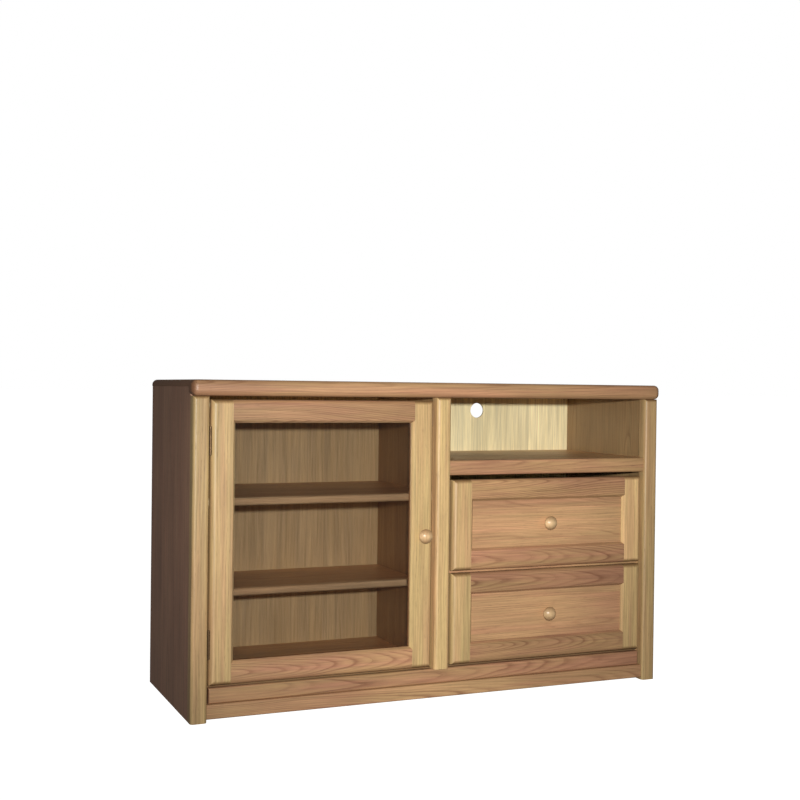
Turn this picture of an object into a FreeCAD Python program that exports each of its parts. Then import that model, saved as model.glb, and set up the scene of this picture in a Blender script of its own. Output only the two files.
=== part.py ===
"""Media cabinet of solid oak and oak veneer, with one glass door and two drawers.

Millimetres, +Z up. The front faces -Y. The origin is on the floor, at the centre of the
cabinet's overall width and depth, knobs included. Depths are measured back from the posts'
front faces with the letter d, and turned into Y by depth_y().
"""
import FreeCAD, Part
import math
import os

V = FreeCAD.Vector
UP = V(0, 0, 1)

# ---- overall size
BODY_W = 1223.0          # across the outer faces of the posts
BODY_D = 426.0           # posts' front faces to the back edges of the sides
HEIGHT = 762.0
TOP_STRIP_H = 36.0       # thick strip along the top's front edge
TOP_OVERHANG = 6.0       # strip in front of the posts
TOP_END_OVERHANG = 4.0   # strip past the posts' outer faces
TOP_CORNER_R = 14.5      # plan radius of the strip's two front corners
TOP_EDGE_R = 13.0        # rounding of the strip's front and end edges
TOP_SHEET_T = 15.5       # the top behind the strip is thinner
SHEET_OVERHANG = 1.0     # past the side panels' outer faces
SHEET_END_R = 13.0       # rounding of the thin top's upper end edges

# ---- carcass
PANEL_T = 19.0
POST_W = 38.0
POST_D = 28.0
POST_R = 8.0             # rounding of the posts' front corners and top front edges
PARTITION_T = 17.5       # flush with the middle post's right face
BACK_T = 6.0
BACK_INSET = 2.0         # back panel in from the sides' back edges
FLOOR_TOP = 74.0         # upper face of the bottom panel
RAIL_D = 12.0            # bottom rail's face, behind the posts' faces
RAIL_END_GAP = 5.0
RAIL_R = 4.0
TOE_D = 6.0
TOE_T = 25.0
TOE_BOTTOM = 6.0
TOE_TOP = 39.0
TOE_R = 3.0
REAR_RAIL_T = 19.0       # rail under the back of the bottom panel
BLOCK_L = 60.0           # glue blocks behind the toe board
BLOCK_T = 25.0
BLOCK_COUNT = 5

# ---- component bay and drawer openings
BAY_SHELF_TOP = 575.0
BAY_RAIL_H = 36.0
BAY_RAIL_D = 6.0
BAY_RAIL_R = 5.0
DIVIDER_Z = 304.0        # centre of the stretcher between the drawers
DIVIDER_DEPTH = 38.0
CABLE_HOLE_R = 20.5
CABLE_HOLE_X = 299.0
CABLE_HOLE_Z = 688.0

# ---- shelves behind the door
SHELF_T = 18.0
SHELF_SIDE_GAP = 1.0
NOSING_D = 19.0
NOSING_R = 6.0
UPPER_SHELF_TOP = 496.0
UPPER_SHELF_D = 28.5
LOWER_SHELF_TOP = 270.0
LOWER_SHELF_D = 150.0    # the lower shelf is shallower than the upper one
PIN_R = 2.5
PIN_OUT = 9.0
PIN_IN = 9.0
PIN_FROM_FRONT = 60.0
PIN_FROM_BACK = 60.0

# ---- framed fronts (door and drawer fronts share one moulding)
FRONT_T = 20.0
FRONT_D = 4.0            # fronts' faces, behind the posts' faces
FRONT_EDGE_R = 11.0
STILE_FACE = 49.4        # from a stile's outer edge to its moulding
RAIL_FACE = 46.5         # from a rail's outer edge to its moulding
STICK_W = 5.6            # sloped inner moulding, seen from the front
STICK_DEPTH = 7.3
DOOR_LIP = 11.0          # depth of the glass rabbet's shoulder
RABBET_W = 9.0
GLASS_T = 4.0
GLASS_PLAY = 1.0
STOP_PLAY = 0.5
PANEL_LIP = 8.0          # depth of the drawer panel's face
PANEL_THICK = 6.0
DOOR_LEFT_GAP = 5.0
DOOR_RIGHT_GAP = 7.5
DOOR_BOTTOM = 80.5
DOOR_TOP = 718.0
DRAWER_LEFT_GAP = 9.0
DRAWER_RIGHT_GAP = 8.0
UPPER_FRONT = (307.5, 527.5)     # bottom and top of the upper drawer's front
LOWER_FRONT = (81.0, 301.0)

# ---- knobs
KNOB_R = 17.0
KNOB_LENGTH = 27.0
KNOB_NECK_R = 8.0
KNOB_DOME_R = 20.0
KNOB_RIM_R = 5.0
KNOB_UNDERCUT = 60.0     # degrees round the rim's underside before the hollow
KNOB_SCREW_R = 2.0
KNOB_SCREW_IN = 14.0
SCREW_HEAD_H = 2.4
KNOB_HEAD_R = 4.2
DOOR_KNOB_Z = 397.0
DRAWER_KNOB_X = 294.0
UPPER_KNOB_Z = 416.5
LOWER_KNOB_Z = 190.5

# ---- drawer boxes and their slides
SLIDE_W = 12.7           # gap that a slide fills
SLIDE_L = 350.0
SLIDE_D = 32.0
SHEET = 1.2              # steel thickness of the slides
SLIDE_HALF = (22.5, 19.3, 16.1)        # outer, middle and inner half heights
SLIDE_WEB = (0.0, 2.5, SLIDE_W - SHEET)    # web position, out from the cabinet wall
SLIDE_FLANGE_END = (9.5, 10.5, 4.7)
CLEAT_H = 60.0
BOX_SIDE_T = 12.0
BOX_LENGTH = 360.0
BOX_H = 165.0
UPPER_BOX_BOTTOM = 325.0
LOWER_BOX_BOTTOM = 97.0
BOX_BOTTOM_T = 6.0
BOX_BOTTOM_UP = 8.0
BOX_GROOVE = 5.0
SLIDE_UP = 55.0          # slide centre above the box's bottom edge

# ---- butt hinges
PIVOT_D = 7.5
PIVOT_IN = 3.0           # hinge pin's centre, right of the left post's inner face
PIN_RADIUS = 1.5
PIN_CLEARANCE = 0.05
KNUCKLE_R = 2.9
LEAF_T = 1.5
HINGE_H = 64.0
HINGE_INSET = 60.0       # hinge end to door end
KNUCKLES = 5
KNUCKLE_GAP = 0.4
CABINET_LEAF_END = 27.0
CABINET_SCREW_D = (14.5, 23.5)
DOOR_LEAF_END = 22.0
DOOR_SCREW_D = (16.0,)

# ---- catch
CATCH_REACH = 20.0       # from the middle post's left face to behind the door
CATCH_DEPTH = 13.0
CATCH_H = 44.0
PLATE_W = 13.0
CATCH_TOP = 700.0
PLATE_T = 1.2
PLATE_GAP = 0.5

# ---- screws and dowels
SCREW_R = 1.6
SCREW_HEAD_R = 3.0
SCREW_L = 11.0
DOWEL_R = 4.0
DOWEL_L = 40.0
DOWEL_INTO_SHEET = 10.0

# ---- positions worked out from the sizes above
HALF_W = BODY_W / 2
INNER_X = HALF_W - PANEL_T           # side panels' inner faces
POST_IN_X = HALF_W - POST_W          # outer posts' inner faces
MID_LEFT = -POST_W / 2               # middle post, on the centre line
MID_RIGHT = POST_W / 2
PART_LEFT = MID_RIGHT - PARTITION_T
UNDER_STRIP = HEIGHT - TOP_STRIP_H
UNDER_SHEET = HEIGHT - TOP_SHEET_T
FLOOR_BOTTOM = FLOOR_TOP - PANEL_T
BACK_D = BODY_D - BACK_INSET - BACK_T    # depth of the back panel's front face
KNOB_FRONT_D = FRONT_D - KNOB_LENGTH     # foremost point of the whole cabinet
DOOR_X0 = -POST_IN_X + DOOR_LEFT_GAP
DOOR_X1 = MID_LEFT - DOOR_RIGHT_GAP
DRAWER_X0 = MID_RIGHT + DRAWER_LEFT_GAP
DRAWER_X1 = POST_IN_X - DRAWER_RIGHT_GAP
BOX_X0 = MID_RIGHT + SLIDE_W
BOX_X1 = POST_IN_X - SLIDE_W
FRONT_BACK_D = FRONT_D + FRONT_T
PIVOT_X = -POST_IN_X + PIVOT_IN

NODES = {}


def depth_y(d):
    """Y of a point that lies d behind the posts' front faces."""
    return d - (KNOB_FRONT_D + BODY_D) / 2


def block(x0, x1, d0, d1, z0, z1):
    corner = V(x0, depth_y(d0), z0)
    return Part.makeBox(x1 - x0, d1 - d0, z1 - z0, corner)


def rod(x, d, z, radius, length, direction):
    return Part.makeCylinder(radius, length, V(x, depth_y(d), z), direction)


def near(value, target):
    return abs(value - target) < 0.01


def edges_where(shape, test):
    """Edges of a shape whose bounding box passes the test."""
    return [edge for edge in shape.Edges if test(edge.BoundBox)]


def round_front_edges(shape, d, radius):
    """Round the edges that lie in the plane d behind the posts' faces."""
    y = depth_y(d)
    front = edges_where(shape, lambda b: near(b.YMin, y) and near(b.YMax, y))
    return shape.makeFillet(radius, front)


def group(shapes):
    return Part.makeCompound(shapes)


def drill(node, tools):
    NODES[node] = NODES[node].cut(group(tools))


# ---------------------------------------------------------------- carcass

def post(x0, bottom):
    """A post with rounded front corners and a rounded top front edge, mitred together."""
    blank = block(x0, x0 + POST_W, 0, POST_D, bottom, UNDER_STRIP)
    y = depth_y(0)
    corners = edges_where(blank, lambda b: b.ZLength > POST_W and near(b.YMax, y))
    brow = edges_where(blank, lambda b: near(b.YMax, y) and near(b.ZMin, UNDER_STRIP))
    return blank.makeFillet(POST_R, corners).common(blank.makeFillet(POST_R, brow))


def top_panel():
    """A thick rounded strip along the front, and the thinner top behind it."""
    half = HALF_W + TOP_END_OVERHANG
    strip = block(-half, half, -TOP_OVERHANG, POST_D, UNDER_STRIP, HEIGHT)
    y = depth_y(-TOP_OVERHANG)
    corners = edges_where(strip, lambda b: b.ZLength > 1 and near(b.YMax, y))
    strip = strip.makeFillet(TOP_CORNER_R, corners)
    back = depth_y(POST_D)
    rim = edges_where(strip, lambda b: b.ZLength < 0.01 and not near(b.YMin, back))
    strip = strip.makeFillet(TOP_EDGE_R, rim)
    end = HALF_W + SHEET_OVERHANG
    sheet = block(-end, end, POST_D, BODY_D, UNDER_SHEET, HEIGHT)
    ends = edges_where(sheet, lambda b: b.YLength > POST_W and near(b.ZMin, HEIGHT))
    sheet = sheet.makeFillet(SHEET_END_R, ends)
    return strip.fuse(sheet).removeSplitter()


def add_carcass():
    side = [POST_D, BODY_D, 0, UNDER_SHEET]
    NODES["left_side_panel"] = block(-HALF_W, -INNER_X, *side)
    NODES["right_side_panel"] = block(INNER_X, HALF_W, *side)
    NODES["left_post"] = post(-HALF_W, 0)
    NODES["right_post"] = post(POST_IN_X, 0)
    NODES["middle_post"] = post(MID_LEFT, FLOOR_TOP)
    NODES["top_panel"] = top_panel()
    NODES["partition"] = block(PART_LEFT, MID_RIGHT, POST_D, BACK_D, FLOOR_TOP, UNDER_SHEET)
    floor_z = [FLOOR_BOTTOM, FLOOR_TOP]
    NODES["bottom_panel"] = block(-INNER_X, INNER_X, POST_D, BACK_D, *floor_z)
    back_z = [FLOOR_BOTTOM, UNDER_SHEET]
    back = block(-INNER_X, INNER_X, BACK_D, BACK_D + BACK_T, *back_z)
    hole = rod(CABLE_HOLE_X, BACK_D - 1, CABLE_HOLE_Z, CABLE_HOLE_R, BACK_T + 2, V(0, 1, 0))
    NODES["back_panel"] = back.cut(hole)


def add_base():
    rail_half = POST_IN_X - RAIL_END_GAP
    rail = block(-rail_half, rail_half, RAIL_D, POST_D, TOE_TOP, FLOOR_TOP)
    NODES["bottom_rail"] = round_front_edges(rail, RAIL_D, RAIL_R)
    toe = block(-POST_IN_X, POST_IN_X, TOE_D, TOE_D + TOE_T, TOE_BOTTOM, TOE_TOP)
    y = depth_y(TOE_D)
    lines = edges_where(toe, lambda b: b.XLength > POST_W and near(b.YMax, y))
    NODES["toe_board"] = toe.makeFillet(TOE_R, lines)
    rear_d = BACK_D - REAR_RAIL_T
    block_d = TOE_D + TOE_T
    span = 2 * (POST_IN_X - BLOCK_L)
    blocks = [block(-INNER_X, INNER_X, rear_d, BACK_D, TOE_BOTTOM, FLOOR_BOTTOM)]
    for i in range(BLOCK_COUNT):
        x = -POST_IN_X + BLOCK_L / 2 + span * i / (BLOCK_COUNT - 1)
        blocks.append(block(x, x + BLOCK_L, block_d, block_d + BLOCK_T, TOE_BOTTOM, FLOOR_BOTTOM))
    NODES["base_rail_and_blocks"] = group(blocks)


def add_bay():
    bottom = BAY_SHELF_TOP - PANEL_T
    shelf_z = [bottom, BAY_SHELF_TOP]
    NODES["component_shelf"] = block(MID_RIGHT, INNER_X, POST_D, BACK_D, *shelf_z)
    low = BAY_SHELF_TOP - BAY_RAIL_H
    rail = block(MID_RIGHT, POST_IN_X, BAY_RAIL_D, POST_D, low, BAY_SHELF_TOP)
    y = depth_y(BAY_RAIL_D)
    lines = edges_where(rail, lambda b: b.XLength > POST_W and near(b.YMax, y))
    NODES["component_shelf_rail"] = rail.makeFillet(BAY_RAIL_R, lines)
    z0 = DIVIDER_Z - PANEL_T / 2
    z1 = DIVIDER_Z + PANEL_T / 2
    divider_back = POST_D + DIVIDER_DEPTH
    NODES["drawer_divider"] = block(MID_RIGHT, INNER_X, POST_D, divider_back, z0, z1)


# ---------------------------------------------------------------- shelves

def nosing(x0, x1, d, top):
    strip = block(x0, x1, d, d + NOSING_D, top - SHELF_T, top)
    y = depth_y(d)
    lines = edges_where(strip, lambda b: b.XLength > POST_W and near(b.YMax, y))
    return strip.makeFillet(NOSING_R, lines)


def shelf_pins(d, top):
    """Four pins under one shelf, half in the wall and half under the shelf."""
    z = top - SHELF_T - PIN_R
    pins = []
    for depth in (d + PIN_FROM_FRONT, BACK_D - PIN_FROM_BACK):
        left = -INNER_X - PIN_IN
        right = PART_LEFT - PIN_OUT
        pins.append(rod(left, depth, z, PIN_R, PIN_IN + PIN_OUT, V(1, 0, 0)))
        pins.append(rod(right, depth, z, PIN_R, PIN_IN + PIN_OUT, V(1, 0, 0)))
    return pins


def add_shelves():
    x0 = -INNER_X + SHELF_SIDE_GAP
    x1 = PART_LEFT - SHELF_SIDE_GAP
    nosings = []
    pins = []
    places = {
        "upper_shelf": (UPPER_SHELF_TOP, UPPER_SHELF_D),
        "lower_shelf": (LOWER_SHELF_TOP, LOWER_SHELF_D),
    }
    for name, (top, d) in places.items():
        rear = d + NOSING_D
        NODES[name] = block(x0, x1, rear, BACK_D - SHELF_SIDE_GAP, top - SHELF_T, top)
        nosings.append(nosing(x0, x1, d, top))
        pins.extend(shelf_pins(d, top))
    NODES["shelf_nosings"] = group(nosings)
    NODES["shelf_pins"] = group(pins)
    drill("left_side_panel", pins)
    drill("partition", pins)


# ---------------------------------------------------------------- framed fronts

def prism(points, d0, d1):
    """Extrude an outline, given as x and z, from depth d0 to depth d1."""
    corners = [V(x, depth_y(d0), z) for x, z in points]
    face = Part.Face(Part.makePolygon(corners + corners[:1]))
    return face.extrude(V(0, d1 - d0, 0))


def sloped_mouth(x0, x1, z0, z1):
    """The bevelled mouth of an opening: wide at the face, STICK_W smaller behind it."""
    wires = []
    for inset, d in ((0, FRONT_D), (STICK_W, FRONT_D + STICK_DEPTH)):
        y = depth_y(d)
        a, b = x0 + inset, x1 - inset
        low, high = z0 + inset, z1 - inset
        ring = [V(a, y, low), V(b, y, low), V(b, y, high), V(a, y, high), V(a, y, low)]
        wires.append(Part.makePolygon(ring))
    return Part.makeLoft(wires, True, True)


def framed_front(prefix, x0, x1, z0, z1, recess_d0, recess_d1):
    """Two stiles and two rails, cope jointed, with a recess for glass or a panel."""
    slab = block(x0, x1, FRONT_D, FRONT_BACK_D, z0, z1)
    slab = round_front_edges(slab, FRONT_D, FRONT_EDGE_R)
    fx, fz = STILE_FACE, RAIL_FACE
    wx, wz = fx + STICK_W, fz + STICK_W
    mouth = sloped_mouth(x0 + fx, x1 - fx, z0 + fz, z1 - fz)
    through = block(x0 + wx, x1 - wx, FRONT_D - 1, FRONT_BACK_D + 1, z0 + wz, z1 - wz)
    rx, rz = wx - RABBET_W, wz - RABBET_W
    recess = block(x0 + rx, x1 - rx, recess_d0, recess_d1, z0 + rz, z1 - rz)
    cutter = mouth.fuse([through, recess])
    a, b = x0 + fx, x1 - fx            # ends of the rails' faces
    a2, b2 = x0 + wx, x1 - wx          # the same, inside the moulding
    low, high = z0 + fz, z1 - fz
    low2, high2 = z0 + wz, z1 - wz
    outlines = {
        "left_stile": [(x0, z0), (a, z0), (a, low), (a2, low2),
                       (a2, high2), (a, high), (a, z1), (x0, z1)],
        "right_stile": [(x1, z0), (b, z0), (b, low), (b2, low2),
                        (b2, high2), (b, high), (b, z1), (x1, z1)],
        "top_rail": [(a, z1), (b, z1), (b, high), (b2, high2), (a2, high2), (a, high)],
        "bottom_rail": [(a, z0), (b, z0), (b, low), (b2, low2), (a2, low2), (a, low)],
    }
    for name, outline in outlines.items():
        member = slab.common(prism(outline, FRONT_D - 1, FRONT_BACK_D + 1))
        NODES[prefix + "_" + name] = member.cut(cutter)
    return x0 + rx, x1 - rx, z0 + rz, z1 - rz


def knob(x, z, face_d):
    """A turned mushroom knob standing on the face at face_d.

    The profile is a domed crown, a small rim arc tangent to it, and a hollow arc that
    runs from the rim down to the neck.
    """
    rim_x = KNOB_R - KNOB_RIM_R
    dome_z = KNOB_LENGTH - KNOB_DOME_R
    rim_z = dome_z + math.sqrt((KNOB_DOME_R - KNOB_RIM_R) ** 2 - rim_x ** 2)
    crown_angle = math.atan2(rim_z - dome_z, rim_x)
    under = math.radians(KNOB_UNDERCUT)

    def on_arc(centre_x, centre_z, radius, angle):
        return V(centre_x + radius * math.cos(angle), 0, centre_z + radius * math.sin(angle))

    tip = V(0, 0, KNOB_LENGTH)
    crown_mid = on_arc(0, dome_z, KNOB_DOME_R, (crown_angle + math.pi / 2) / 2)
    crown = on_arc(0, dome_z, KNOB_DOME_R, crown_angle)
    rim = V(KNOB_R, 0, rim_z)
    below = on_arc(rim_x, rim_z, KNOB_RIM_R, -under)
    hollow_r = (below.x - KNOB_NECK_R) / (1 - math.cos(under))
    hollow = below + V(math.cos(under), 0, -math.sin(under)) * hollow_r
    hollow_mid = on_arc(hollow.x, hollow.z, hollow_r, math.pi - under / 2)
    neck = V(KNOB_NECK_R, 0, hollow.z)
    foot = V(KNOB_NECK_R, 0, 0)
    edges = [
        Part.LineSegment(V(0, 0, 0), foot).toShape(),
        Part.LineSegment(foot, neck).toShape(),
        Part.Arc(neck, hollow_mid, below).toShape(),
        Part.Arc(below, rim, crown).toShape(),
        Part.Arc(crown, crown_mid, tip).toShape(),
        Part.LineSegment(tip, V(0, 0, 0)).toShape(),
    ]
    turned = Part.Face(Part.Wire(edges)).revolve(V(0, 0, 0), UP, 360)
    turned.rotate(V(0, 0, 0), V(1, 0, 0), 90)
    turned.translate(V(x, depth_y(face_d), z))
    return turned


def knob_screw(x, z, head_d, face_d):
    """A pan head screw from inside, through the front and into the knob."""
    forward = V(0, -1, 0)
    length = head_d - face_d + KNOB_SCREW_IN
    shank = rod(x, head_d, z, KNOB_SCREW_R, length, forward)
    head = rod(x, head_d + SCREW_HEAD_H, z, KNOB_HEAD_R, SCREW_HEAD_H, forward)
    rim = edges_where(head, lambda b: near(b.YMax, depth_y(head_d + SCREW_HEAD_H)))
    head = head.makeFillet(1.0, rim)
    return shank.fuse(head).removeSplitter()


# ---------------------------------------------------------------- fasteners

def wood_screw(x, d, z, direction):
    """A countersunk screw whose flat head starts at the point given."""
    start = V(x, depth_y(d), z)
    head_l = SCREW_HEAD_R - SCREW_R
    head = Part.makeCone(SCREW_HEAD_R, SCREW_R, head_l, start, direction)
    shank_start = start + direction * head_l
    tip_l = 2 * SCREW_R
    shank = Part.makeCylinder(SCREW_R, SCREW_L - head_l - tip_l, shank_start, direction)
    tip_start = start + direction * (SCREW_L - tip_l)
    tip = Part.makeCone(SCREW_R, 0.4, tip_l, tip_start, direction)
    return head.fuse([shank, tip]).removeSplitter()


def add_dowels():
    """Dowels that hold the top down on the sides, the partition and the posts."""
    middle_x = (PART_LEFT + MID_RIGHT) / 2
    side_x = HALF_W - PANEL_T / 2
    z = UNDER_SHEET + DOWEL_INTO_SHEET - DOWEL_L
    places = [(x, d, z) for x in (-side_x, middle_x, side_x) for d in (90, 230, 370)]
    post_z = UNDER_STRIP - DOWEL_L / 2
    places += [(x, POST_D / 2, post_z) for x in (-side_x, 0, side_x)]
    dowels = [rod(*place, DOWEL_R, DOWEL_L, UP) for place in places]
    NODES["top_dowels"] = group(dowels)
    for node in ("top_panel", "left_side_panel", "right_side_panel", "partition",
                 "left_post", "middle_post", "right_post"):
        drill(node, dowels)


# ---------------------------------------------------------------- hinges and door

def on_pivot(radius, z0, z1):
    """A cylinder about the hinge pin's axis."""
    return Part.makeCylinder(radius, z1 - z0, V(PIVOT_X, depth_y(PIVOT_D), z0), UP)


def hinge_leaf(x0, end_d, hinge_z, own_knuckles):
    """One leaf: a flat plate with its share of the knuckles, bored for the pin."""
    pitch = HINGE_H / KNUCKLES
    plate = block(x0, x0 + LEAF_T, PIVOT_D, end_d, hinge_z, hinge_z + HINGE_H)
    gaps = []
    tubes = []
    for i in range(KNUCKLES):
        z0 = hinge_z + i * pitch + KNUCKLE_GAP / 2
        z1 = hinge_z + (i + 1) * pitch - KNUCKLE_GAP / 2
        if i in own_knuckles:
            tubes.append(on_pivot(KNUCKLE_R, z0, z1))
        else:
            low = z0 - KNUCKLE_GAP
            high = z1 + KNUCKLE_GAP
            gaps.append(on_pivot(KNUCKLE_R + KNUCKLE_GAP, low, high))
    bore = on_pivot(PIN_RADIUS + PIN_CLEARANCE, hinge_z - 1, hinge_z + HINGE_H + 1)
    leaf = plate.cut(group(gaps)).fuse(tubes).cut(bore)
    return leaf.removeSplitter()


def hinge_screws(x, depths, hinge_z, direction):
    screws = []
    for d in depths:
        for z in (hinge_z + 9, hinge_z + HINGE_H - 9):
            screws.append(wood_screw(x, d, z, direction))
    return screws


def add_hinges():
    """Two butt hinges: cabinet leaves, door leaves, pins and their screws."""
    cabinet_leaves = []
    door_leaves = []
    pins = []
    cabinet_screws = []
    door_screws = []
    cabinet_x = -POST_IN_X
    door_x = DOOR_X0 - LEAF_T
    for hinge_z in (DOOR_BOTTOM + HINGE_INSET, DOOR_TOP - HINGE_INSET - HINGE_H):
        cabinet_leaves.append(hinge_leaf(cabinet_x, CABINET_LEAF_END, hinge_z, (0, 2, 4)))
        door_leaves.append(hinge_leaf(door_x, DOOR_LEAF_END, hinge_z, (1, 3)))
        pins.append(on_pivot(PIN_RADIUS, hinge_z - 1, hinge_z + HINGE_H + 1))
        left = V(-1, 0, 0)
        right = V(1, 0, 0)
        cabinet_screws += hinge_screws(cabinet_x + LEAF_T, CABINET_SCREW_D, hinge_z, left)
        door_screws += hinge_screws(door_x, DOOR_SCREW_D, hinge_z, right)
    NODES["hinge_cabinet_leaves"] = group(cabinet_leaves).cut(group(cabinet_screws))
    NODES["hinge_door_leaves"] = group(door_leaves).cut(group(door_screws))
    NODES["hinge_pins"] = group(pins)
    drill("left_post", cabinet_screws)
    drill("door_left_stile", door_screws)
    return cabinet_screws, door_screws


def add_door():
    """Framed door with its glass, stops, knob and catch plate."""
    rabbet_d = FRONT_D + DOOR_LIP
    x0, x1, z0, z1 = framed_front("door", DOOR_X0, DOOR_X1, DOOR_BOTTOM, DOOR_TOP,
                                  rabbet_d, FRONT_BACK_D + 1)
    g = GLASS_PLAY
    glass_back = rabbet_d + GLASS_T
    NODES["door_glass"] = block(x0 + g, x1 - g, rabbet_d, glass_back, z0 + g, z1 - g)
    p = STOP_PLAY
    s = RABBET_W - p
    a, b, low, high = x0 + p, x1 - p, z0 + p, z1 - p
    stop = [glass_back, FRONT_BACK_D]
    NODES["door_glass_stops"] = group([
        block(a, a + s, *stop, low, high),
        block(b - s, b, *stop, low, high),
        block(a + s, b - s, *stop, low, low + s),
        block(a + s, b - s, *stop, high - s, high),
    ])
    knob_x = DOOR_X1 - STILE_FACE / 2
    screw = knob_screw(knob_x, DOOR_KNOB_Z, FRONT_BACK_D, FRONT_D)
    NODES["door_knob"] = knob(knob_x, DOOR_KNOB_Z, FRONT_D).cut(screw)
    drill("door_right_stile", [screw])
    return screw


def add_catch():
    """Magnetic catch behind the middle post, and its steel plate on the door."""
    front = FRONT_BACK_D + PLATE_T + PLATE_GAP
    z0 = CATCH_TOP - CATCH_H
    x0 = MID_LEFT - CATCH_REACH
    case = block(x0, PART_LEFT, POST_D, POST_D + CATCH_DEPTH, z0, CATCH_TOP)
    nose = block(x0, MID_LEFT, front, POST_D, z0, CATCH_TOP)
    NODES["magnetic_catch"] = case.fuse(nose).removeSplitter()
    plate_d = [FRONT_BACK_D, FRONT_BACK_D + PLATE_T]
    plate_x1 = DOOR_X1 - 1
    NODES["catch_plate"] = block(plate_x1 - PLATE_W, plate_x1, *plate_d, z0, CATCH_TOP)


# ---------------------------------------------------------------- drawers

def slide_member(wall_x, side, which, centre_z):
    """One C shaped member of a slide: 0 cabinet, 1 middle, 2 drawer."""
    half = SLIDE_HALF[which]
    web = SLIDE_WEB[which]
    end = SLIDE_FLANGE_END[which]
    d0, d1 = SLIDE_D, SLIDE_D + SLIDE_L

    def part(t0, t1, z0, z1):
        xs = sorted((wall_x + side * t0, wall_x + side * t1))
        return block(xs[0], xs[1], d0, d1, centre_z + z0, centre_z + z1)

    t0, t1 = sorted((web, end)) if which < 2 else (end, web + SHEET)
    body = part(web, web + SHEET, -half, half)
    upper = part(t0, t1, half - SHEET, half)
    lower = part(t0, t1, -half, -half + SHEET)
    return body.fuse([upper, lower]).removeSplitter()


def slide_set(which, centre_z):
    """The same member on both sides of one drawer."""
    return [slide_member(MID_RIGHT, 1, which, centre_z),
            slide_member(POST_IN_X, -1, which, centre_z)]


def slide_screws(centre_z, t, direction_sign):
    """Screws of one drawer's slides: into the cabinet (-1) or into the box (+1)."""
    screws = []
    for wall_x, side in ((MID_RIGHT, 1), (POST_IN_X, -1)):
        direction = V(side * direction_sign, 0, 0)
        for d in (SLIDE_D + 20, SLIDE_D + SLIDE_L / 2, SLIDE_D + SLIDE_L - 20):
            screws.append(wood_screw(wall_x + side * t, d, centre_z, direction))
    return screws


def add_drawer(name, front, knob_z, low):
    """A framed drawer front on a four sided box, with its half of the slides."""
    panel_d = FRONT_D + PANEL_LIP
    x0, x1, z0, z1 = framed_front(name, DRAWER_X0, DRAWER_X1, *front,
                                  panel_d, panel_d + PANEL_THICK)
    p = STOP_PLAY
    panel = block(x0 + p, x1 - p, panel_d, panel_d + PANEL_THICK, z0 + p, z1 - p)

    high = low + BOX_H
    t = BOX_SIDE_T
    d0 = FRONT_BACK_D
    d1 = d0 + BOX_LENGTH
    sides = [block(BOX_X0, BOX_X0 + t, d0, d1, low, high),
             block(BOX_X1 - t, BOX_X1, d0, d1, low, high)]
    ends = [block(BOX_X0 + t, BOX_X1 - t, d0, d0 + t, low, high),
            block(BOX_X0 + t, BOX_X1 - t, d1 - t, d1, low, high)]
    g = BOX_GROOVE
    bottom_z = low + BOX_BOTTOM_UP
    bottom = block(BOX_X0 + t - g, BOX_X1 - t + g, d0 + t - g, d1 - t + g,
                   bottom_z, bottom_z + BOX_BOTTOM_T)

    screw = knob_screw(DRAWER_KNOB_X, knob_z, d0 + t, panel_d)

    centre_z = low + SLIDE_UP
    into_box = slide_screws(centre_z, SLIDE_WEB[2], 1)
    members = group(slide_set(2, centre_z)).cut(group(into_box))

    NODES[name + "_panel"] = panel.cut(screw)
    NODES[name + "_sides"] = group(sides).cut(bottom).cut(group(into_box))
    NODES[name + "_ends"] = group(ends).cut(bottom).cut(screw)
    NODES[name + "_bottom"] = bottom
    NODES[name + "_knob"] = knob(DRAWER_KNOB_X, knob_z, panel_d).cut(screw)
    NODES[name + "_screws"] = group([screw] + into_box)
    NODES[name + "_slide_members"] = members
    NODES[name + "_slide_middles"] = group(slide_set(1, centre_z))
    return centre_z


def add_slides_to_cabinet(centres):
    """Cabinet members of both drawers' slides, and the cleats that carry the right ones."""
    cleats = []
    members = []
    screws = []
    for z in centres:
        cleats.append(block(POST_IN_X, INNER_X, POST_D, BACK_D, z - CLEAT_H / 2, z + CLEAT_H / 2))
        members += slide_set(0, z)
        screws += slide_screws(z, SHEET, -1)
    NODES["slide_cleats"] = group(cleats).cut(group(screws))
    NODES["cabinet_slide_members"] = group(members).cut(group(screws))
    drill("partition", screws)
    drill("right_post", screws)
    return screws


def add_back_screws():
    """Screws that hold the back panel to the partition and the bottom panel."""
    forward = V(0, -1, 0)
    back = BACK_D + BACK_T
    middle_x = (PART_LEFT + MID_RIGHT) / 2
    floor_z = (FLOOR_TOP + FLOOR_BOTTOM) / 2
    screws = [wood_screw(middle_x, back, z, forward) for z in (140, 300, 460, 620)]
    for x in (-540, -360, -180, 180, 360, 540):
        screws.append(wood_screw(x, back, floor_z, forward))
    for node in ("back_panel", "partition", "bottom_panel"):
        drill(node, screws)
    return screws


def build():
    add_carcass()
    add_base()
    add_bay()
    add_shelves()
    add_dowels()
    door_knob_screw = add_door()
    cabinet_screws, door_screws = add_hinges()
    add_catch()
    lower_z = add_drawer("lower_drawer", LOWER_FRONT, LOWER_KNOB_Z, LOWER_BOX_BOTTOM)
    upper_z = add_drawer("upper_drawer", UPPER_FRONT, UPPER_KNOB_Z, UPPER_BOX_BOTTOM)
    cabinet_screws += add_slides_to_cabinet((lower_z, upper_z))
    cabinet_screws += add_back_screws()
    NODES["cabinet_screws"] = group(cabinet_screws)
    NODES["door_screws"] = group([door_knob_screw] + door_screws)


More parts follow.
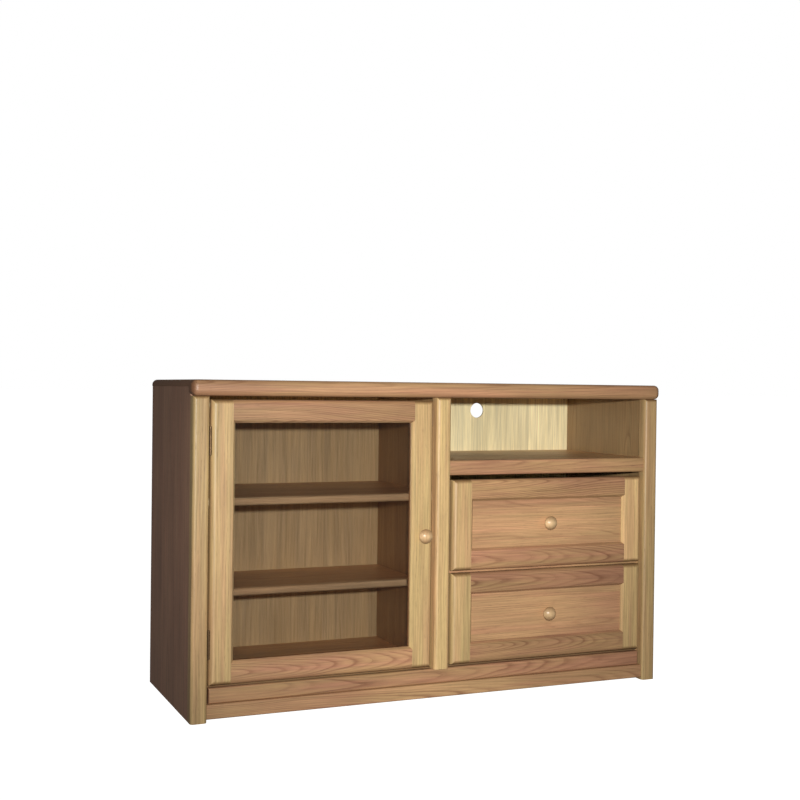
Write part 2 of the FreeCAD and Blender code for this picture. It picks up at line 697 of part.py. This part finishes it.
def main():
    build()
    os.makedirs("parts", exist_ok=True)
    whole = FreeCAD.BoundBox()
    for name, shape in NODES.items():
        if not shape.isValid():
            print("NOT VALID", name)
        whole.add(shape.BoundBox)
        shape.exportStep("parts/" + name + ".step")
    print(len(NODES), "nodes")
    print("x", round(whole.XMin, 2), round(whole.XMax, 2))
    print("y", round(whole.YMin, 2), round(whole.YMax, 2))
    print("z", round(whole.ZMin, 2), round(whole.ZMax, 2))
    print("solids", sum(len(shape.Solids) for shape in NODES.values()))


main()
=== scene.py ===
import math
import random

import bpy
from mathutils import Matrix, Vector


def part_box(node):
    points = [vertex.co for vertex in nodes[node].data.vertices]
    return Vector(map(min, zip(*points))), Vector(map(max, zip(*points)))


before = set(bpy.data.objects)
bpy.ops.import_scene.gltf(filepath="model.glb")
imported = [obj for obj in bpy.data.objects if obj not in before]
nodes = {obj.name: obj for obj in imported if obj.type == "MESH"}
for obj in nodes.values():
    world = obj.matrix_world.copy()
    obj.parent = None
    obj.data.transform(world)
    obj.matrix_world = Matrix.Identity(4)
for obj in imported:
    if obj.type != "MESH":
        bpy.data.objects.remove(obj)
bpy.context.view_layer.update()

AXES = "XYZ"


# ---------------------------------------------------------------- node trees
class Tree:
    """One material's node tree, with short ways to add nodes to it."""

    def __init__(self, name):
        self.material = bpy.data.materials.new(name)
        self.material.use_nodes = True
        self.nodes = self.material.node_tree.nodes
        self.links = self.material.node_tree.links
        self.nodes.clear()

    def put(self, socket, value):
        if isinstance(value, bpy.types.NodeSocket):
            self.links.new(value, socket)
        elif isinstance(value, tuple) and len(value) == 3 and len(socket.default_value) == 4:
            socket.default_value = (*value, 1.0)
        else:
            socket.default_value = value

    def add(self, kind, values=None, **settings):
        node = self.nodes.new("ShaderNode" + kind)
        for key, setting in settings.items():
            setattr(node, key, setting)
        for key, value in (values or {}).items():
            self.put(node.inputs[key], value)
        return node

    def math(self, operation, *values, clamp=False):
        node = self.add("Math", operation=operation, use_clamp=clamp)
        for socket, value in zip(node.inputs, values):
            self.put(socket, value)
        return node.outputs[0]

    def mix(self, share, first, second, blend="MIX"):
        node = self.add("Mix", data_type="RGBA", blend_type=blend)
        self.put(node.inputs[0], share)
        self.put(node.inputs[6], first)
        self.put(node.inputs[7], second)
        return node.outputs[2]

    def noise(self, vector, detail=2.0, roughness=0.5, distortion=0.0):
        values = {"Vector": vector, "Scale": 1.0, "Detail": detail, "Roughness": roughness,
                  "Distortion": distortion}
        return self.add("TexNoise", values, noise_dimensions="3D")

    def cloud(self, scale, shift=0.0, detail=2.0, roughness=0.5):
        """Noise over the piece's own coordinates, scale times finer along each axis."""
        place = self.add("TexCoord").outputs["Object"]
        values = {0: place, "Location": (shift,) * 3, "Scale": scale}
        return self.noise(self.add("Mapping", values).outputs[0], detail, roughness).outputs["Fac"]

    def between(self, value, low, high, to_low=0.0, to_high=1.0, smooth=False):
        """value between low and high, carried over to between to_low and to_high."""
        node = self.add("MapRange", clamp=True)
        if smooth:
            node.interpolation_type = "SMOOTHSTEP"
        for socket, v in zip(node.inputs, (value, low, high, to_low, to_high)):
            self.put(socket, v)
        return node.outputs[0]

    def curve(self, value, *stops):
        """value run through straight pieces between (place, height) stops."""
        node = self.add("ValToRGB", {0: value})
        ramp = node.color_ramp
        while len(ramp.elements) < len(stops):
            ramp.elements.new(0.5)
        for element, (place, height) in zip(ramp.elements, stops):
            element.position = place
            element.color = (height, height, height, 1.0)
        return self.add("SeparateColor", {0: node.outputs[0]}).outputs[0]

    def vector(self, x, y, z):
        node = self.add("CombineXYZ")
        for socket, value in zip(node.inputs, (x, y, z)):
            self.put(socket, value)
        return node.outputs[0]

    def stretched(self, place, scales, shift=0.0):
        """A texture vector: each of the three places times its scale, plus a shift."""
        parts = [self.math("MULTIPLY_ADD", p, s, shift) for p, s in zip(place, scales)]
        return self.vector(*parts)

    def edge_wear(self, radius, samples=4):
        """How near a sharp edge is, 0 to 1, and the normal rounded over that edge."""
        soft = self.add("Bevel", {"Radius": radius}, samples=samples).outputs[0]
        true = self.add("NewGeometry").outputs["Normal"]
        dot = self.add("VectorMath", {0: soft, 1: true}, operation="DOT_PRODUCT").outputs["Value"]
        return self.between(dot, 0.995, 0.86), soft

    def bump(self, height, distance, strength=1.0, normal=None):
        node = self.add("Bump", {"Height": height, "Distance": distance, "Strength": strength})
        if normal is not None:
            self.put(node.inputs["Normal"], normal)
        return node.outputs[0]

    def surface(self, shader):
        out = self.nodes.new("ShaderNodeOutputMaterial")
        self.links.new(shader, out.inputs["Surface"])
        return self.material


# ---------------------------------------------------------------- wood
# Each palette is the light wood, the middle wood and the dark line of a year ring.
STILE = ((0.66, 0.47, 0.21), (0.54, 0.34, 0.165), (0.27, 0.13, 0.045))
RAIL = ((0.55, 0.335, 0.155), (0.44, 0.22, 0.125), (0.22, 0.09, 0.045))
PANEL = ((0.59, 0.365, 0.175), (0.49, 0.26, 0.14), (0.26, 0.11, 0.052))
# Darker than the other woods: partly the veneer's own colour, partly painted shade for the left side panel,
# which the lamp reaches only at a grazing angle.
VENEER_WITH_PAINTED_SHADE = ((0.50, 0.28, 0.17), (0.39, 0.205, 0.13), (0.22, 0.105, 0.062))
WALL = ((0.56, 0.37, 0.17), (0.46, 0.285, 0.13), (0.30, 0.16, 0.07))
SHELF = ((0.84, 0.58, 0.30), (0.75, 0.48, 0.25), (0.50, 0.29, 0.14))
NOSING = ((0.92, 0.78, 0.50), (0.84, 0.66, 0.40), (0.56, 0.37, 0.20))
KNOB = ((0.72, 0.50, 0.27), (0.64, 0.41, 0.21), (0.44, 0.24, 0.11))
PLYWOOD = ((0.94, 0.85, 0.54), (0.88, 0.77, 0.45), (0.68, 0.54, 0.30))
BIRCH = ((0.72, 0.57, 0.38), (0.66, 0.50, 0.32), (0.52, 0.36, 0.21))
PINE = ((0.70, 0.52, 0.31), (0.64, 0.45, 0.25), (0.46, 0.27, 0.12))

FIRST_BOARD = 10        # boards are counted from this many widths left of the middle
SEAM_HALF = 0.0007      # metres from a glue line to where its dark line starts
PORE_DARK = 0.45        # colour of an open pore against the ring's dark line
END_GRAIN_DARK = 0.62   # colour of end grain against the ring's dark line
RUBBED_LIGHT = 1.25     # colour of a rubbed edge against the light wood
WOOD_EDGE = 0.0016      # metres over which a wooden edge counts as worn
WOOD_RELIEF = 0.00022   # metres between the top of a fibre and the bottom of a pore


def wood(name, node, grain, across, palette, seed, boards=0.0, depth=0.045, lean=0.05,
         off=0.0, spacing=0.0036, wander=0.024, rings=0.75, pores=1.0, roughness=0.43,
         wear=0.35, tone=1.0, blotch=9.0):
    """A piece of wood sawn from a tree whose heart lies depth behind the face and off to one
    side of the middle, and leans away along the grain, so that the year rings cut the face in
    long arches or in lines. boards is the width of the glued boards or veneer leaves, spacing
    that of the rings, and blotch how many colour patches there are to a metre. End grain takes
    up more finish, so it is darker."""
    t = Tree(name)
    light, mid, dark = palette
    low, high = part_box(node)
    g, a = AXES.index(grain), AXES.index(across)
    th = 3 - g - a
    centre = (low + high) / 2
    place = t.add("TexCoord", name="coords").outputs["Object"]
    xyz = t.add("SeparateXYZ", {0: place}).outputs
    along, wide, thick = (t.math("SUBTRACT", xyz[i], float(centre[i])) for i in (g, a, th))
    rng = random.Random(seed)
    shift = rng.uniform(5, 40)
    if boards:
        from_first = t.math("ADD", wide, FIRST_BOARD * boards + boards / 2)
        count = t.math("FLOOR", t.math("DIVIDE", from_first, boards))
        dice = t.add("TexWhiteNoise", {"W": t.math("ADD", count, shift)}, noise_dimensions="1D")
        chance = t.add("SeparateColor", {0: dice.outputs["Color"]}).outputs
        middle = t.math("MULTIPLY", t.math("SUBTRACT", count, FIRST_BOARD), boards)
        inside = t.math("SUBTRACT", wide, middle)
        moved = t.math("MULTIPLY", t.math("SUBTRACT", chance[0], 0.5), 1.2 * boards)
        local = t.math("ADD", inside, moved)
        jump = t.math("MULTIPLY", chance[1], 3.0)
        leaning = t.math("MULTIPLY", t.math("SUBTRACT", chance[2], 0.5), 2.6 * lean)
        seam = t.between(t.math("ABSOLUTE", inside), boards / 2 - SEAM_HALF, boards / 2 - 0.0001)
    else:
        local, jump, leaning, seam, chance = wide, 0.0, lean, None, None
    far = t.math("ADD", along, jump) if boards else along
    sway = t.noise(t.stretched((local, thick, far), (4.5, 4.5, 1.3), shift), detail=2.5)
    swing = t.add("SeparateColor", {0: sway.outputs["Color"]}).outputs
    side = t.math("SUBTRACT", local, off)
    side = t.math("MULTIPLY_ADD", t.math("SUBTRACT", swing[0], 0.5), wander * 2, side)
    deep = t.math("MULTIPLY_ADD", t.math("SUBTRACT", swing[1], 0.5), wander * 2, depth)
    deep = t.math("ADD", deep, thick)
    deep = t.math("MULTIPLY_ADD", along, leaning, deep)
    squares = t.math("ADD", t.math("MULTIPLY", side, side), t.math("MULTIPLY", deep, deep))
    ring_r = t.math("SQRT", squares)
    at = (local, thick, far)
    ripple = t.noise(t.stretched(at, (55.0, 55.0, 9.0), shift), detail=2.0).outputs["Fac"]
    ring_r = t.math("MULTIPLY_ADD", ripple, spacing * 0.55, ring_r)
    phase = t.math("DIVIDE", ring_r, spacing)
    turn = t.math("FRACT", phase)
    ring = t.math("ADD", t.math("FLOOR", phase), shift)
    year = t.add("TexWhiteNoise", {"W": ring}, noise_dimensions="1D")
    early = t.curve(turn, (0.0, 0.75), (0.10, 1.0), (0.30, 0.42), (0.62, 0.05), (0.90, 0.12),
                    (1.0, 0.75))
    early = t.math("MULTIPLY", early, t.between(year.outputs["Value"], 0.0, 1.0, 0.25, 1.0))

    fibre = t.noise(t.stretched(at, (260.0, 260.0, 8.0), shift), detail=3.0, roughness=0.6)
    fibre = fibre.outputs["Fac"]
    streak = t.noise(t.stretched(at, (60.0, 60.0, 2.6), shift + 3), detail=2.0).outputs["Fac"]
    patch = t.noise(t.stretched(at, (blotch, blotch, 3.0), shift + 7), detail=2.5)
    hue = t.add("SeparateColor", {0: patch.outputs["Color"]}).outputs
    vessel = t.noise(t.stretched(at, (1300.0, 1300.0, 55.0), shift), detail=1.0)
    vessel = t.between(vessel.outputs["Fac"], 0.60, 0.70)
    vessel = t.math("MULTIPLY", vessel, t.math("MULTIPLY_ADD", early, 0.75, 0.25))

    share = t.math("MULTIPLY_ADD", streak, 0.70, t.math("MULTIPLY", hue[0], 0.80))
    share = t.between(share, 0.60, 0.90)
    colour = t.mix(share, light, mid)
    if boards:
        colour = t.mix(t.math("MULTIPLY", chance[1], 0.35), colour, mid)
        shade = t.between(chance[2], 0.0, 1.0, 0.90 * tone, 1.07 * tone)
    else:
        shade = tone
    colour = t.mix(t.math("MULTIPLY", early, rings), colour, dark)
    lift = t.between(fibre, 0.28, 0.72, 0.80, 1.17)
    lift = t.math("MULTIPLY", lift, t.between(streak, 0.32, 0.68, 0.86, 1.13))
    lift = t.math("MULTIPLY", lift, t.between(hue[1], 0.30, 0.70, 0.90, 1.09))
    lift = t.math("MULTIPLY", lift, shade)
    bright = t.add("VectorMath", {0: colour, "Scale": lift}, operation="SCALE").outputs[0]
    pore = tuple(c * PORE_DARK for c in dark)
    colour = t.mix(t.math("MULTIPLY", vessel, pores * 0.55), bright, pore)
    facing = t.add("SeparateXYZ", {0: t.nodes["coords"].outputs["Normal"]}).outputs[g]
    cut_end = t.between(t.math("ABSOLUTE", facing), 0.12, 0.75)
    end_wood = tuple(c * END_GRAIN_DARK for c in dark)
    colour = t.mix(t.math("MULTIPLY", cut_end, 0.75), colour, end_wood)
    near, soft = t.edge_wear(WOOD_EDGE)
    rub = t.between(t.math("ADD", near, t.math("MULTIPLY", streak, 0.5)), 0.55, 1.3)
    rubbed = tuple(min(1.0, c * RUBBED_LIGHT) for c in light)
    colour = t.mix(t.math("MULTIPLY", rub, wear), colour, rubbed)
    if seam is not None:
        colour = t.mix(t.math("MULTIPLY", seam, 0.35), colour, dark)

    gloss = t.math("MULTIPLY_ADD", fibre, 0.16, roughness - 0.08)
    gloss = t.math("MULTIPLY_ADD", vessel, 0.18, gloss)
    gloss = t.math("MULTIPLY_ADD", rub, -0.06, gloss, clamp=True)
    height = t.math("MULTIPLY_ADD", vessel, -1.0, t.math("MULTIPLY", fibre, 0.30))
    height = t.math("MULTIPLY_ADD", early, -0.35, height)
    normal = t.bump(height, WOOD_RELIEF, 0.7, soft)
    shader = t.add("BsdfPrincipled", {"Base Color": colour, "Roughness": gloss, "Normal": normal})
    return t.surface(shader.outputs[0])


# ---------------------------------------------------------------- glass, metal, plastic
def glass(name):
    """Bronze tinted pane: what is behind it shows through, and it mirrors by Fresnel."""
    t = Tree(name)
    smear = t.cloud((9.0, 9.0, 5.0), detail=4.0)
    haze = t.between(smear, 0.35, 0.75)
    tint = t.mix(haze, (0.745, 0.702, 0.675), (0.725, 0.682, 0.655))
    clear = t.add("BsdfTransparent", {"Color": tint})
    gloss = t.add("BsdfAnisotropic", {"Color": (1.0, 1.0, 1.0)})
    t.put(gloss.inputs["Roughness"], t.between(smear, 0.3, 0.8, 0.02, 0.07))
    edge = t.add("Fresnel", {"IOR": 1.5}).outputs[0]
    shader = t.add("MixShader", {0: edge, 1: clear.outputs[0], 2: gloss.outputs[0]})
    return t.surface(shader.outputs[0])


def metal(name, colour, worn, roughness, brush, seed, tarnish=0.35):
    """Coated or plated steel: fine brush marks along one axis, dull spots, and bright worn edges."""
    t = Tree(name)
    shift = random.Random(seed).uniform(3, 30)
    lines = t.cloud(brush, shift, detail=3.0)
    spot = t.between(t.cloud((60.0,) * 3, shift, detail=4.0, roughness=0.6), 0.48, 0.72)
    dull = tuple(c * 0.62 for c in colour)
    tone = t.mix(t.math("MULTIPLY", spot, tarnish), colour, dull)
    tone = t.mix(t.between(lines, 0.3, 0.7, 0.0, 0.25), tone, tuple(c * 0.8 for c in colour))
    near, soft = t.edge_wear(0.0005)
    tone = t.mix(t.math("MULTIPLY", near, 0.6), tone, worn)
    rough = t.math("MULTIPLY_ADD", lines, 0.12, roughness - 0.06)
    rough = t.math("MULTIPLY_ADD", spot, 0.14, rough)
    normal = t.bump(lines, 0.00005, 0.5, soft)
    shader = t.add("BsdfPrincipled", {"Base Color": tone, "Roughness": rough, "Normal": normal})
    shader.inputs["Metallic"].default_value = 1.0
    return t.surface(shader.outputs[0])


def plastic(name, colour, seed):
    """Moulded plastic with a fine spark-eroded grain and a few scuffs."""
    t = Tree(name)
    shift = random.Random(seed).uniform(3, 30)
    grain = t.cloud((1800.0,) * 3, shift)
    scuff = t.cloud((45.0, 45.0, 240.0), shift, detail=4.0)
    mark = t.between(scuff, 0.58, 0.70)
    tone = t.mix(t.between(grain, 0.3, 0.7), colour, tuple(c * 1.35 for c in colour))
    near, soft = t.edge_wear(0.0006)
    pale = t.math("MAXIMUM", t.math("MULTIPLY", mark, 0.25), t.math("MULTIPLY", near, 0.35))
    tone = t.mix(pale, tone, tuple(min(1.0, c * 2.6) for c in colour))
    rough = t.math("MULTIPLY_ADD", grain, 0.12, 0.42)
    normal = t.bump(grain, 0.00006, 0.6, soft)
    shader = t.add("BsdfPrincipled", {"Base Color": tone, "Roughness": rough, "Normal": normal})
    return t.surface(shader.outputs[0])


def dress(names, material):
    """Gives the CAD nodes this material on every material slot."""
    for name in [names] if isinstance(names, str) else names:
        obj = nodes[name]
        if not obj.material_slots:
            obj.data.materials.append(material)
        for place in obj.material_slots:
            place.material = material


# ---------------------------------------------------------------- which piece gets what
# A piece's tone makes it lighter or darker than its palette. It also makes up for what one
# lamp leaves too dark or too bright on that piece.
UPRIGHT = {"grain": "Z", "across": "X", "palette": STILE, "off": 0.05, "depth": 0.03, "lean": 0.016,
           "rings": 0.30, "wander": 0.020, "spacing": 0.0068, "blotch": 55.0}
LEVEL = {"grain": "X", "across": "Z", "palette": RAIL}

PIECES = (
    ("left_post", UPRIGHT | {"off": 0.05, "tone": 0.88}),
    ("middle_post", UPRIGHT | {"off": -0.045, "tone": 1.10}),
    ("right_post", UPRIGHT | {"off": 0.07, "tone": 0.92}),
    ("door_left_stile", UPRIGHT | {"off": -0.06, "tone": 0.95}),
    ("door_right_stile", UPRIGHT | {"off": 0.08, "tone": 0.99}),
    ("upper_drawer_left_stile", UPRIGHT | {"off": 0.05, "tone": 0.97}),
    ("upper_drawer_right_stile", UPRIGHT | {"off": -0.07, "tone": 1.27}),
    ("lower_drawer_left_stile", UPRIGHT | {"off": -0.05, "tone": 0.90}),
    ("lower_drawer_right_stile", UPRIGHT | {"off": 0.06}),
    ("door_top_rail", LEVEL | {"off": -0.045, "lean": 0.09, "depth": 0.04, "tone": 0.84}),
    ("door_bottom_rail", LEVEL | {"off": 0.004, "lean": 0.07, "depth": 0.035, "tone": 0.97}),
    ("upper_drawer_top_rail", LEVEL | {"off": 0.03, "lean": 0.05}),
    ("upper_drawer_bottom_rail", LEVEL | {"off": -0.01, "lean": 0.06}),
    ("lower_drawer_top_rail", LEVEL | {"off": 0.0, "lean": 0.06, "tone": 0.85}),
    ("lower_drawer_bottom_rail", LEVEL | {"off": 0.012, "lean": 0.08, "depth": 0.03, "tone": 0.86}),
    ("upper_drawer_panel", LEVEL | {"palette": PANEL, "boards": 0.078, "lean": 0.03, "rings": 0.38}),
    ("lower_drawer_panel", LEVEL | {"palette": PANEL, "boards": 0.082, "lean": 0.03, "rings": 0.38}),
    ("bottom_rail", LEVEL | {"off": 0.004, "lean": 0.045, "tone": 0.88}),
    ("toe_board", LEVEL | {"palette": PANEL, "off": -0.02, "lean": 0.05, "tone": 0.90}),
    ("component_shelf_rail", LEVEL | {"off": 0.02, "lean": 0.03, "rings": 0.5}),
    ("shelf_nosings", LEVEL | {"palette": NOSING, "off": 0.02, "lean": 0.04}),
    ("top_panel", {"grain": "X", "across": "Y", "palette": PANEL, "boards": 0.092, "lean": 0.035}),
    ("drawer_divider", {"grain": "X", "across": "Y", "palette": PANEL}),
    ("door_glass_stops", UPRIGHT | {"palette": PANEL}),
)
VENEERED = {"palette": VENEER_WITH_PAINTED_SHADE, "boards": 0.142, "lean": 0.02, "spacing": 0.0042, "wear": 0.15,
            "rings": 0.7, "wander": 0.02}
SHEETS = (
    ("left_side_panel", VENEERED | {"grain": "Z", "across": "Y"}),
    ("right_side_panel", VENEERED | {"grain": "Z", "across": "Y", "palette": WALL, "tone": 0.66}),
    ("partition", VENEERED | {"grain": "Z", "across": "Y", "palette": WALL, "tone": 0.78}),
    ("bottom_panel", VENEERED | {"grain": "X", "across": "Y", "palette": SHELF}),
    ("component_shelf", VENEERED | {"grain": "X", "across": "Y", "palette": SHELF}),
    ("upper_shelf", VENEERED | {"grain": "X", "across": "Y", "palette": SHELF}),
    ("lower_shelf", VENEERED | {"grain": "X", "across": "Y", "palette": SHELF}),
)
PLAIN = {"wear": 0.1, "roughness": 0.55}
BOX_WOOD = PLAIN | {"palette": BIRCH, "rings": 0.25, "pores": 0.15}
ROUGH_PINE = PLAIN | {"palette": PINE, "pores": 0.1, "roughness": 0.7}
INNER = (
    ("back_panel", PLAIN | {"grain": "Z", "across": "X", "palette": PLYWOOD, "boards": 0.31,
                            "lean": 0.02, "rings": 0.30, "pores": 0.35, "spacing": 0.007,
                            "wander": 0.05, "depth": 0.09}),
    ("upper_drawer_bottom", PLAIN | {"grain": "X", "across": "Y", "palette": PLYWOOD, "rings": 0.3}),
    ("lower_drawer_bottom", PLAIN | {"grain": "X", "across": "Y", "palette": PLYWOOD, "rings": 0.3}),
    ("upper_drawer_sides", BOX_WOOD | {"grain": "Y", "across": "Z"}),
    ("lower_drawer_sides", BOX_WOOD | {"grain": "Y", "across": "Z"}),
    ("upper_drawer_ends", BOX_WOOD | {"grain": "X", "across": "Z"}),
    ("lower_drawer_ends", BOX_WOOD | {"grain": "X", "across": "Z"}),
    ("base_rail_and_blocks", ROUGH_PINE | {"grain": "X", "across": "Z"}),
    ("slide_cleats", ROUGH_PINE | {"grain": "Y", "across": "Z"}),
    ("top_dowels", PLAIN | {"grain": "Z", "across": "X", "palette": BIRCH, "pores": 0.1, "roughness": 0.6}),
)
KNOBS = ("door_knob", "upper_drawer_knob", "lower_drawer_knob")
FIRST_WOOD_SEED = 11
FIRST_KNOB_SEED = 91
for seed, (name, look) in enumerate(PIECES + SHEETS + INNER):
    dress(name, wood("wood_" + name, name, seed=FIRST_WOOD_SEED + seed, **look))
for seed, name in enumerate(KNOBS):
    dress(name, wood("wood_" + name, name, "Z", "X", KNOB, seed=FIRST_KNOB_SEED + seed,
                     off=0.03, depth=0.03, lean=0.02, rings=0.3, roughness=0.30, pores=0.5, wander=0.006))

dress("door_glass", glass("bronze_glass"))
SLIDES = ("cabinet_slide_members", "upper_drawer_slide_members", "lower_drawer_slide_members",
          "upper_drawer_slide_middles", "lower_drawer_slide_middles")
dress(SLIDES, metal("slide_steel", (0.055, 0.05, 0.048), (0.35, 0.34, 0.33), 0.42,
                    (900.0, 12.0, 900.0), seed=5))
ZINC = ("cabinet_screws", "door_screws", "upper_drawer_screws", "lower_drawer_screws", "catch_plate",
        "shelf_pins")
dress(ZINC, metal("zinc_steel", (0.62, 0.61, 0.58), (0.85, 0.85, 0.83), 0.30,
                  (400.0, 400.0, 400.0), seed=7))
HINGES = ("hinge_cabinet_leaves", "hinge_door_leaves", "hinge_pins")
dress(HINGES, metal("brass_plate", (0.16, 0.10, 0.055), (0.42, 0.28, 0.14), 0.46,
                    (700.0, 700.0, 20.0), seed=9, tarnish=0.6))
dress("magnetic_catch", plastic("brown_plastic", (0.10, 0.058, 0.035), seed=3))

# ---------------------------------------------------------------- camera
CAMERA_AT = Vector((-1.26092, -2.84714, 0.74792))
SENSOR_MM = 36.0
LENS_MM = 55.04
YAW, PITCH, ROLL = (math.radians(v) for v in (23.3751, -0.5591, 0.6747))
forward = Vector((math.sin(YAW) * math.cos(PITCH), math.cos(YAW) * math.cos(PITCH), math.sin(PITCH)))
level = Vector((math.cos(YAW), -math.sin(YAW), 0.0))
upward = level.cross(forward)
right = level * math.cos(ROLL) + upward * math.sin(ROLL)
up = upward * math.cos(ROLL) - level * math.sin(ROLL)
lens = bpy.data.cameras.new("camera")
lens.sensor_width = SENSOR_MM
lens.lens = LENS_MM
camera = bpy.data.objects.new("camera", lens)
bpy.context.scene.collection.objects.link(camera)
turn = Matrix((right, up, -forward)).transposed().to_4x4()
camera.matrix_world = Matrix.Translation(CAMERA_AT) @ turn
bpy.context.scene.camera = camera


# ---------------------------------------------------------------- light, floor and surroundings
def lamp(name, place, aim, radius, power, cone, colour):
    """A spot whose light falls off softly from the middle of its cone."""
    data = bpy.data.lights.new(name, "SPOT")
    data.shadow_soft_size, data.energy, data.color = radius, power, colour
    data.spot_size, data.spot_blend = math.radians(cone), 1.0
    obj = bpy.data.objects.new(name, data)
    bpy.context.scene.collection.objects.link(obj)
    obj.location = place
    obj.rotation_mode = "QUATERNION"
    obj.rotation_quaternion = (Vector(aim) - Vector(place)).to_track_quat("-Z", "Y")


# Like a flash on the camera: close to the lens and a little above it.
lamp("key", place=(-1.22, -2.90, 0.876), aim=(-0.03, -0.2, 0.47), radius=0.035, power=415.0,
     cone=39.0, colour=(1.0, 0.985, 0.96))
FILL_STRENGTH = 0.09    # soft light from all round, on the object
PAPER_STRENGTH = 1.0    # the white that the camera sees behind the object
FLOOR_GLOW = 0.97       # keeps the floor as white as the backdrop

scene = bpy.context.scene
world = bpy.data.worlds.new("studio")
scene.world = world
world.use_nodes = True
tree = world.node_tree
tree.nodes.clear()
out = tree.nodes.new("ShaderNodeOutputWorld")
fill = tree.nodes.new("ShaderNodeBackground")
fill.inputs["Color"].default_value = (1.0, 0.98, 0.97, 1.0)
fill.inputs["Strength"].default_value = FILL_STRENGTH
paper = tree.nodes.new("ShaderNodeBackground")
paper.inputs["Color"].default_value = (1.0, 1.0, 1.0, 1.0)
paper.inputs["Strength"].default_value = PAPER_STRENGTH
seen = tree.nodes.new("ShaderNodeLightPath")
pick = tree.nodes.new("ShaderNodeMixShader")
tree.links.new(seen.outputs["Is Camera Ray"], pick.inputs[0])
tree.links.new(fill.outputs[0], pick.inputs[1])
tree.links.new(paper.outputs[0], pick.inputs[2])
tree.links.new(pick.outputs[0], out.inputs["Surface"])
scene.view_settings.view_transform = "Standard"

FLOOR_HALF = 150.0
mesh = bpy.data.meshes.new("floor")
corners = [(x * FLOOR_HALF, y * FLOOR_HALF, 0.0) for x, y in ((-1, -1), (1, -1), (1, 1), (-1, 1))]
mesh.from_pydata(corners, [], [(0, 1, 2, 3)])
floor = bpy.data.objects.new("floor", mesh)
scene.collection.objects.link(floor)
t = Tree("floor_paper")
pale = t.mix(t.cloud((40.0,) * 3), (0.86, 0.86, 0.86), (0.90, 0.90, 0.90))
shader = t.add("BsdfPrincipled", {"Base Color": pale, "Roughness": 0.9})
shader.inputs["Emission Color"].default_value = (1.0, 1.0, 1.0, 1.0)
shader.inputs["Emission Strength"].default_value = FLOOR_GLOW
mesh.materials.append(t.surface(shader.outputs[0]))
floor.visible_diffuse = False
floor.visible_glossy = False
